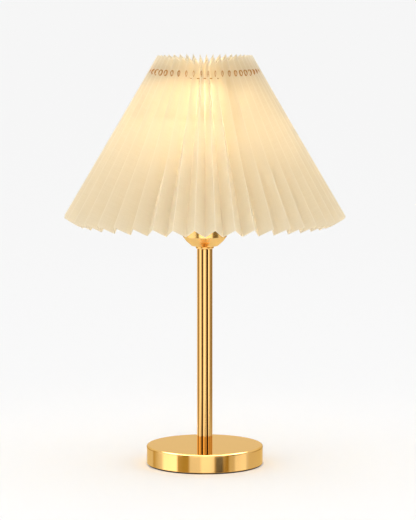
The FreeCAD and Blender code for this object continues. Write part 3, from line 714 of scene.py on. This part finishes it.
# %% [markdown]
# ## Bulb
# A screw-in bulb: a cap of thin metal with a rolled thread, a moulded body that draws heat away,
# and an opal cover that glows evenly. The thread is rolled into the cap's wall, so the wall's
# radius follows a wave that climbs once round for each turn.

# %% Bulb
radius, low, high = box("bulb_cap")
PITCH = 3.629
THREAD_DEPTH = 0.95
CAP_WALL = 0.4
COVER_WALL = 1.3


def rolled(r, z, angle):
    """Moves a wall point in and out with the thread, which fades at both ends."""
    fade = min(1.0, max(0.0, min(z - low - 1.2, high - 3.2 - z) / 1.5))
    wave = 0.5 - 0.5 * math.cos(TURN * (z / PITCH - angle / TURN))
    return r - THREAD_DEPTH * fade * (1 - wave) - (0.15 if z < low + 1.0 else 0.0)


levels = [low + (high - low) * step / 60 for step in range(61)]
outside = [(radius, z) for z in levels]
inside = [(radius - CAP_WALL, z) for z in reversed(levels)]
cap = lathe("bulb_cap_rolled", outside + inside, sides=96, radius=rolled)
fit(cap, "bulb", ["bulb_cap"], NICKEL)

globe_radius, mouth, crown = box("bulb_globe")
body_radius, low, high = box("bulb_body")
neck = high - 25
seat = body_radius - 2.5
body = lathe("bulb_body_moulded", [
    (11.2, low), (12.6, low), (12.6, neck - 5), (14.2, neck - 5, 0.5), (14.2, neck, 3.0),
    (body_radius, high, 0.2), (seat, high), (seat, high - 1.4), (12.8, neck + 0.5),
    (11.2, neck - 3),
], sides=128)
fit(body, "bulb", ["bulb_body"], SHELL)

centre = crown - globe_radius
reach = math.acos((mouth - centre) / globe_radius)
skin = [(globe_radius * math.sin(reach * i / 40), centre + globe_radius * math.cos(reach * i / 40))
        for i in range(40, -1, -1)]
thin = COVER_WALL / globe_radius
lining = [(max(r - thin * r, 0), z - thin * (z - centre)) for r, z in reversed(skin)]
globe = lathe("bulb_cover_opal", skin + lining, sides=96)
fit(globe, "bulb", ["bulb_globe"], OPAL)

# %% [markdown]
# ## Pleated shade
# The real shade starts as a flat strip, cut to length and punched: a slot on both sides of each
# outer fold, and a small hole on both sides of each inner fold for the cord. It is then scored,
# folded and heat-set. The script does the same. It lays out the flat strip with its holes, and a
# tree folds it: every point keeps its place along the strip, and the tree finds the two folds
# beside it and puts it on the straight line between them. The folds lie on a cone. They crowd a
# little on one side of the lamp and open on the other, as on a shade pulled on by hand.

# %% Flat strip
CORD_HOLE = (1.1, 1.1)
CORD_PLACE = 0.32 * PANEL
slot_middle = PANEL - SLOT_PLACE
# the columns of points across one panel, from its inner fold to its outer one
across = [0, 2.4, CORD_PLACE - CORD_HOLE[0], CORD_PLACE, CORD_PLACE + CORD_HOLE[0], 10.5,
          slot_middle - SLOT[0], slot_middle, slot_middle + SLOT[0], PANEL]
columns = []
for panel in range(2 * PLEATS):
    steps = across if panel % 2 == 0 else [PANEL - x for x in reversed(across)]
    columns += [panel * PANEL + x for x in steps[:-1]]
columns.append(STRIP)
PLAIN = 27  # from here down there are no holes, and the rows are even
rows = [0, 7, HOLE_ROW - SLOT[1], HOLE_ROW - CORD_HOLE[1], HOLE_ROW, HOLE_ROW + CORD_HOLE[1],
        HOLE_ROW + SLOT[1], PLAIN]
rows += [PLAIN + (FOLD_LENGTH - PLAIN) * step / 18 for step in range(1, 19)]
TINY = 1e-6


def hole_beside(x):
    """(place along the strip, half sizes) of the hole whose oblong the column at x touches."""
    panel = min(int(x / PANEL), 2 * PLEATS - 1)
    inner = (panel + panel % 2) * PANEL
    outer = (panel + 1 - panel % 2) * PANEL
    cord_hole = inner + math.copysign(CORD_PLACE, x - inner)
    slot = outer + math.copysign(SLOT_PLACE, x - outer)
    for place, half in ((slot, SLOT), (cord_hole, CORD_HOLE)):
        if abs(x - place) <= half[0] + TINY:
            return place, half
    return None


def on_oblong(x, y, hole):
    """How far out (x, y) is from the middle of a hole, as a share of its oblong."""
    return max(abs(x - hole[0]) / hole[1][0], abs(y - HOLE_ROW) / hole[1][1])


def punched(x, y):
    """A strip point, moved onto the edge of its hole if it lies on the oblong round it."""
    hole = hole_beside(x)
    if hole and abs(on_oblong(x, y, hole) - 1) < TINY:
        place, half = hole
        scale = 1 / math.hypot((x - place) / half[0], (y - HOLE_ROW) / half[1])
        return place + (x - place) * scale, HOLE_ROW + (y - HOLE_ROW) * scale
    return x, y


def in_hole(x, y):
    hole = hole_beside(x)
    return hole is not None and on_oblong(x, y, hole) < 1 - TINY


points = [punched(x, y) for x in columns for y in rows]
faces = []
for i in range(len(columns) - 1):
    for j in range(len(rows) - 1):
        if not in_hole((columns[i] + columns[i + 1]) / 2, (rows[j] + rows[j + 1]) / 2):
            a = i * len(rows) + j
            faces.append((a, a + 1, a + len(rows) + 1, a + len(rows)))
strip = bpy.data.meshes.new("strip")
strip.from_pydata([(x * MM, y * MM, 0) for x, y in points], [], faces)
chart = strip.uv_layers.new(name="Strip")
for corner, loop in enumerate(strip.loops):
    x, y = points[loop.vertex_index]
    chart.data[corner].uv = (x / STRIP, y / STRIP)
loose = bmesh.new()
loose.from_mesh(strip)
bmesh.ops.delete(loose, geom=[v for v in loose.verts if not v.link_faces], context="VERTS")
loose.to_mesh(strip)
loose.free()
print("flat strip", round(STRIP * MM, 4), "by", FOLD_LENGTH * MM, "m,", len(faces), "faces")


# %% Where a fold lies
def fold_point():
    """The place on fold number Fold, at distance Down from the strip's top edge."""
    tree, given, out = group("Fold point", [
        ("Fold", "Float"), ("Down", "Float"), ("Pleats", "Int"), ("Panel", "Float"),
        ("Top radius", "Float"), ("Top level", "Float"), ("Slant", "Float"), ("Crowding", "Float"),
        ("Unevenness", "Float"),
    ], outputs=(("Place", "Vector"),))
    fold, down = given["Fold"], given["Down"]
    sine, cosine = calc(tree, "SINE", given["Slant"]), calc(tree, "COSINE", given["Slant"])
    folds = calc(tree, "MULTIPLY", given["Pleats"], 2.0)
    step = calc(tree, "DIVIDE", TURN, folds)
    plain = calc(tree, "MULTIPLY", fold, step)
    swing = calc(tree, "SUBTRACT", calc(tree, "COSINE", plain), 1.0)
    which = calc(tree, "FLOORED_MODULO", fold, folds)
    stray = add(tree, "FunctionNodeRandomValue", {
        2: -1.0, 3: 1.0, "ID": which, "Seed": 7,
    }, data_type="FLOAT").outputs[1]
    angle = calc(tree, "MULTIPLY_ADD", swing, given["Crowding"], plain)
    angle = calc(tree, "MULTIPLY_ADD", calc(tree, "MULTIPLY", stray, step), given["Unevenness"], angle)
    radius = calc(tree, "MULTIPLY_ADD", down, sine, given["Top radius"])
    fall = calc(tree, "MULTIPLY", down, cosine)
    # how far the inner fold lies below the outer one, so that the panel keeps its width
    loss = calc(tree, "SUBTRACT", 1.0, calc(tree, "COSINE", step))
    shift = calc(tree, "MULTIPLY", calc(tree, "MULTIPLY", radius, cosine), loss)
    spread = calc(tree, "MULTIPLY", calc(tree, "MULTIPLY", calc(tree, "POWER", radius, 2.0), 2.0), loss)
    square = calc(tree, "MULTIPLY_ADD", shift, shift, calc(tree, "POWER", given["Panel"], 2.0))
    rest = calc(tree, "SUBTRACT", square, spread)
    depth = calc(tree, "ADD", shift, calc(tree, "SQRT", rest))
    inner = calc(tree, "SUBTRACT", 1.0, calc(tree, "FLOORED_MODULO", fold, 2.0))
    depth = calc(tree, "MULTIPLY", depth, inner)
    radius = calc(tree, "SUBTRACT", radius, calc(tree, "MULTIPLY", depth, cosine))
    level = calc(tree, "SUBTRACT", calc(tree, "SUBTRACT", given["Top level"], fall),
                 calc(tree, "MULTIPLY", depth, sine))
    towards = calc(tree, "MULTIPLY", radius, calc(tree, "COSINE", angle))
    place = join(tree, X=calc(tree, "MULTIPLY", radius, calc(tree, "SINE", angle)),
                 Y=calc(tree, "MULTIPLY", towards, -1.0), Z=level)
    tree.links.new(place, out[0])
    return tree


# %% Folding
def folding():
    sizes = [("Pleats", "Int"), ("Panel", "Float"), ("Top radius", "Float"), ("Top level", "Float"),
             ("Slant", "Float"), ("Crowding", "Float"), ("Unevenness", "Float")]
    tree, given, out = group("Folding", [("Geometry", "Geometry"), *sizes, ("Bow", "Float")])
    inner_tree = fold_point()
    flat = own_place(tree)
    # the fold to the left of the point, kept off the far end so that the last panel is whole
    panels = calc(tree, "DIVIDE", flat["X"], given["Panel"])
    last = calc(tree, "MULTIPLY_ADD", given["Pleats"], 2.0, -1.0)
    fold = calc(tree, "MINIMUM", calc(tree, "FLOOR", calc(tree, "ADD", panels, 0.0005)), last)
    share = calc(tree, "SUBTRACT", panels, fold)
    ends = []
    for number in (fold, calc(tree, "ADD", fold, 1.0)):
        node = add(tree, "GeometryNodeGroup", node_tree=inner_tree)
        tree.links.new(number, node.inputs["Fold"])
        tree.links.new(flat["Y"], node.inputs["Down"])
        for name, _ in sizes:
            tree.links.new(given[name], node.inputs[name])
        ends.append(node.outputs[0])
    width = vector(tree, "SUBTRACT", ends[1], ends[0])
    place = vector(tree, "ADD", ends[0], vector(tree, "SCALE", width, share))
    # each panel bulges a hair outwards between its folds
    outward = vector(tree, "NORMALIZE", vector(tree, "MULTIPLY", ends[0], (1.0, 1.0, 0.0)))
    arch = calc(tree, "SINE", calc(tree, "MULTIPLY", share, math.pi))
    bulge = calc(tree, "MULTIPLY", arch, given["Bow"])
    place = vector(tree, "ADD", place, vector(tree, "SCALE", outward, bulge))
    glued = add(tree, "GeometryNodeMergeByDistance", {
        "Geometry": moved(tree, given["Geometry"], place), "Distance": 1e-5,
    })
    deliver(tree, glued.outputs[0], SHEET, out)
    return tree


TOP_RADIUS = 47
TOP_DROP = 0.45  # from the CAD's highest point down to the middle surface's top edge
top_level = box("pleated_shade")[2] - TOP_DROP
shade = baked("shade_pleated", strip, [
    ("NODES", {"tree": folding(), "Pleats": PLEATS, "Panel": PANEL * MM, "Top radius": TOP_RADIUS * MM,
               "Top level": top_level * MM, "Slant": SLANT, "Crowding": 0.13,
               "Unevenness": 0.07, "Bow": 0.3 * MM}),
    ("SOLIDIFY", {"thickness": THICKNESS * MM, "offset": 0.0, "use_even_offset": True}),
], angle=16)
fit(shade, "shade", ["pleated_shade"], SHEET)

# %% [markdown]
# ## Gathering cord
# A cotton cord runs through the small holes and draws the pleats in at the top. It is two yarns
# laid round each other, so the tree winds two thin tubes round one circle.


# %% Two-strand cord
def laid_cord():
    tree, given, out = group("Laid cord", [
        ("Geometry", "Geometry"), ("Radius", "Float"), ("Level", "Float"), ("Yarn", "Float"),
        ("Twists", "Int", 110),
    ])
    section = circle(tree, 7, given["Yarn"])
    yarns = []
    for start in (0.0, math.pi):
        point = own_place(tree)
        angle = calc(tree, "ARCTAN2", point["Y"], point["X"])
        lay = calc(tree, "MULTIPLY_ADD", angle, given["Twists"], start)
        reach = calc(tree, "MULTIPLY_ADD", calc(tree, "COSINE", lay), given["Yarn"], given["Radius"])
        place = join(tree, X=calc(tree, "MULTIPLY", calc(tree, "COSINE", angle), reach),
                     Y=calc(tree, "MULTIPLY", calc(tree, "SINE", angle), reach),
                     Z=calc(tree, "MULTIPLY_ADD", calc(tree, "SINE", lay), given["Yarn"], given["Level"]))
        yarns.append(tube(tree, moved(tree, circle(tree, 1100, 1.0), place), section))
    deliver(tree, joined(tree, *yarns), COTTON_SHADED_TAN, out)
    return tree


radius, low, high = box("gather_cord")
thick = (high - low) / 2
cord = baked("gather_cord_laid", bpy.data.meshes.new("seed"), [("NODES", {
    "tree": laid_cord(), "Radius": (radius - thick) * MM, "Level": (low + high) / 2 * MM,
    "Yarn": thick / 2 * MM,
})], angle=60)
fit(cord, "shade", ["gather_cord"], COTTON_SHADED_TAN)

# %% [markdown]
# ## The rest of the assembly
# The other CAD pieces keep their own shape and take the finish that the record gives them.

# %% Finishes on CAD pieces
FINISHES = {
    "cast_weight": CAST, "foot_foam": FOAM, "zinc_steel": ZINC, "block_nylon": NYLON,
    "live_sleeve": LIVE, "neutral_sleeve": NEUTRAL, "holder_plastic": THERMOSET,
    "contact_brass": CONTACT, "cap_nickel": NICKEL, "insulator_black": GLASSY, "board_white": BOARD,
    "driver_green": LAMINATE, "led_phosphor": PHOSPHOR,
}
for part in frame["record"]["subparts"]:
    if part["material_slot"] in FINISHES:
        mesh = frame["nodes"][part["node"]].data
        mesh.materials.clear()
        mesh.materials.append(FINISHES[part["material_slot"]])
        print(part["node"], mesh.materials[0].name)

# %% [markdown]
# ## Studio
# Polished metal shows what stands round it more than its own colour. So the room has two faces:
# an even white that lights the lamp and fills the background, and, for reflections alone, rows
# of soft boxes and brown cards drawn by direction. The base's side mirrors the lowest row, and
# the stem a row of its own just under level. Above level the first row comes back, dark flags
# hang over it, and a bright ceiling closes the top. The floor is matt white. Reflections that
# reach it at a low angle pass through to the rows, so the metal doesn't mirror an empty floor.

# %% Room
scene.view_settings.view_transform = "Standard"
# (heading in degrees, brightness), seen from the lamp: 0 is the front and 90 the right
BASE_ROW = [
    (-180, 0.90), (-128, 0.86), (-121, 0.60), (-112, 0.76), (-95, 1.0), (-88, 1.8), (-58, 1.9),
    (-54, 0.50), (-33, 0.52), (-28, 0.95), (-10, 0.95), (-5, 1.35), (10, 1.3), (18, 1.05), (20, 0.45),
    (23, 0.02), (35, 0.02), (38, 0.38), (47, 0.42), (50, 0.76), (60, 0.8), (64, 1.2), (88, 1.25),
    (93, 0.85), (100, 0.78), (180, 0.90),
]
STEM_ROW = [
    (-180, 0.50), (-110, 0.55), (-100, 1.3), (-48, 1.2), (-42, 0.12), (-34, 0.12), (-28, 1.9),
    (38, 1.9), (45, 0.10), (72, 0.12), (78, 0.85), (100, 0.85), (112, 0.40), (180, 0.50),
]
# (share of a full turn from the rear, brightness)
FLAG_ROW = [(0.0, 0.48), (0.30, 0.46), (0.36, 0.06), (0.74, 0.06), (0.80, 0.46), (1.0, 0.48)]
# each row fades in between two heights: half the sine of the elevation, plus a half
STEM_FROM, BASE_AGAIN_FROM = (0.412, 0.416), (0.50, 0.51)
FLAGS_FROM, CEILING_FROM = (0.68, 0.70), (0.83, 0.86)
CEILING = 3.5
REFLECTED = 2.0  # how strongly all the rows together show in the metal
SEEN_WHITE = 0.93
FLOOR_WHITE = 0.93
# the floor lets reflections through below the first slope and stops them above the second
LOW_LOOK = (0.375, 0.40)


def card(level):
    """The colour of a panel of that brightness: the darker ones are brown card."""
    tint = min(level / 0.85, 1.0)
    return level / 2, level / 2 * (0.6 + 0.4 * tint**2), level / 2 * (0.1 + 0.9 * tint**4), 1.0


def white(level):
    return level, level, level, 1.0


def background(tree, colour, strength=1.0):
    return add(tree, "ShaderNodeBackground", {"Color": colour, "Strength": strength}).outputs[0]


def room():
    world = bpy.data.worlds.new("Studio")
    world.use_nodes = True
    tree = world.node_tree
    tree.nodes.clear()
    way = split(tree, add(tree, "ShaderNodeTexCoord").outputs["Generated"])
    heading = calc(tree, "ARCTAN2", way["X"], calc(tree, "MULTIPLY", way["Y"], -1.0))
    heading = calc(tree, "MULTIPLY_ADD", heading, 1 / TURN, 0.5)
    base_row, stem_row = [
        ramp(tree, heading, [(degrees / 360 + 0.5, card(level)) for degrees, level in row])
        for row in (BASE_ROW, STEM_ROW)
    ]
    flag_row = ramp(tree, heading, FLAG_ROW)
    climb = calc(tree, "MULTIPLY_ADD", way["Z"], 0.5, 0.5)
    seen = base_row
    for (start, end), row in ((STEM_FROM, stem_row), (BASE_AGAIN_FROM, base_row),
                              (FLAGS_FROM, flag_row), (CEILING_FROM, white(CEILING))):
        seen = blend(tree, ramp(tree, climb, [(start, 0.0), (end, 1.0)]), seen, row)
    rays = add(tree, "ShaderNodeLightPath").outputs
    mirrored = background(tree, seen, REFLECTED)
    seen_white, lit_white = background(tree, white(SEEN_WHITE)), background(tree, white(1.0))
    plain = add(tree, "ShaderNodeMixShader", {
        0: rays["Is Diffuse Ray"], 1: seen_white, 2: lit_white,
    }).outputs[0]
    both = add(tree, "ShaderNodeMixShader", {0: rays["Is Glossy Ray"], 1: plain, 2: mirrored}).outputs[0]
    add(tree, "ShaderNodeOutputWorld", {"Surface": both})
    scene.world = world


def table_top():
    material, tree = new_material("Table_top_matt_white")
    rays = add(tree, "ShaderNodeLightPath").outputs
    place = add(tree, "ShaderNodeNewGeometry").outputs
    slope = vector(tree, "DOT_PRODUCT", place["Incoming"], (0.0, 0.0, 1.0))
    steep = ramp(tree, slope, [(LOW_LOOK[0], 0.0), (LOW_LOOK[1], 1.0)])
    clear = calc(tree, "MULTIPLY", rays["Is Glossy Ray"], calc(tree, "SUBTRACT", 1.0, steep))
    matt = add(tree, "ShaderNodeBsdfDiffuse", {"Color": white(FLOOR_WHITE)}).outputs[0]
    through = add(tree, "ShaderNodeBsdfTransparent").outputs[0]
    mixed = add(tree, "ShaderNodeMixShader", {0: clear, 1: matt, 2: through}).outputs[0]
    add(tree, "ShaderNodeOutputMaterial", {"Surface": mixed})
    return material


room()
FLOOR_RADIUS = 40
disc = bpy.data.meshes.new("floor")
rim = [(FLOOR_RADIUS * math.cos(TURN * i / 96), FLOOR_RADIUS * math.sin(TURN * i / 96), 0)
       for i in range(96)]
disc.from_pydata(rim, [], [tuple(range(96))])
floor = new_object("floor", disc)
disc.materials.append(table_top())
floor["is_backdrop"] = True
print("a room of", len(BASE_ROW) + len(STEM_ROW), "panels and a floor", 2 * FLOOR_RADIUS, "m across")


# %% Lights
def soft_light(name, place, size, watts):
    """A soft box that looks at the middle of the lamp, and isn't seen in the metal."""
    light = bpy.data.lights.new(name, "AREA")
    light.shape = "RECTANGLE"
    light.size, light.size_y = size
    light.energy = watts
    thing = new_object(name, light)
    thing.location = place
    thing.rotation_euler = (Vector((0, 0, 0.3)) - Vector(place)).to_track_quat("-Z", "Y").to_euler()
    thing.visible_glossy = False
    thing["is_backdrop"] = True


soft_light("light_left", (-1.6, -0.9, 1.2), (0.9, 1.2), 2.5)
soft_light("light_right", (1.7, -0.7, 1.0), (0.7, 1.2), 2.5)

# a small warm light above the bulb helps its glow reach the top of the shade
glow = bpy.data.lights.new("light_upward", "POINT")
glow.energy = 0.14
glow.shadow_soft_size = 0.012
glow.color = (1.0, 0.96, 0.88)
upward = new_object("light_upward", glow)
upward.location = (0, 0, 0.388)
upward.visible_camera = False
upward.visible_glossy = False
upward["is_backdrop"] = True

# %% [markdown]
# ## Camera
# A long lens from almost three metres, a little above the shade, so that the pleats keep their
# even spacing and the base shows its top as a narrow ellipse.

# %% Camera
lens = bpy.data.cameras.new("camera")
lens.lens = 187
lens.sensor_width = 36
lens.clip_end = 100
lens.shift_x = 0.0062
lens.shift_y = 0.0052
camera = new_object("camera", lens)
camera.location = (0.0, -2.75, 0.53)
camera.rotation_euler = (math.radians(90 - 6.66), 0, 0)
scene.camera = camera
print("a", lens.lens, "mm lens at", tuple(camera.location))

# %% Sizes of the CAD model and of the scene
boxes = {"cad": CAD_BOX, "visual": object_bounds()}
for name, (low, high) in boxes.items():
    print(name, "size", [round(b - a, 4) for a, b in zip(low, high)])
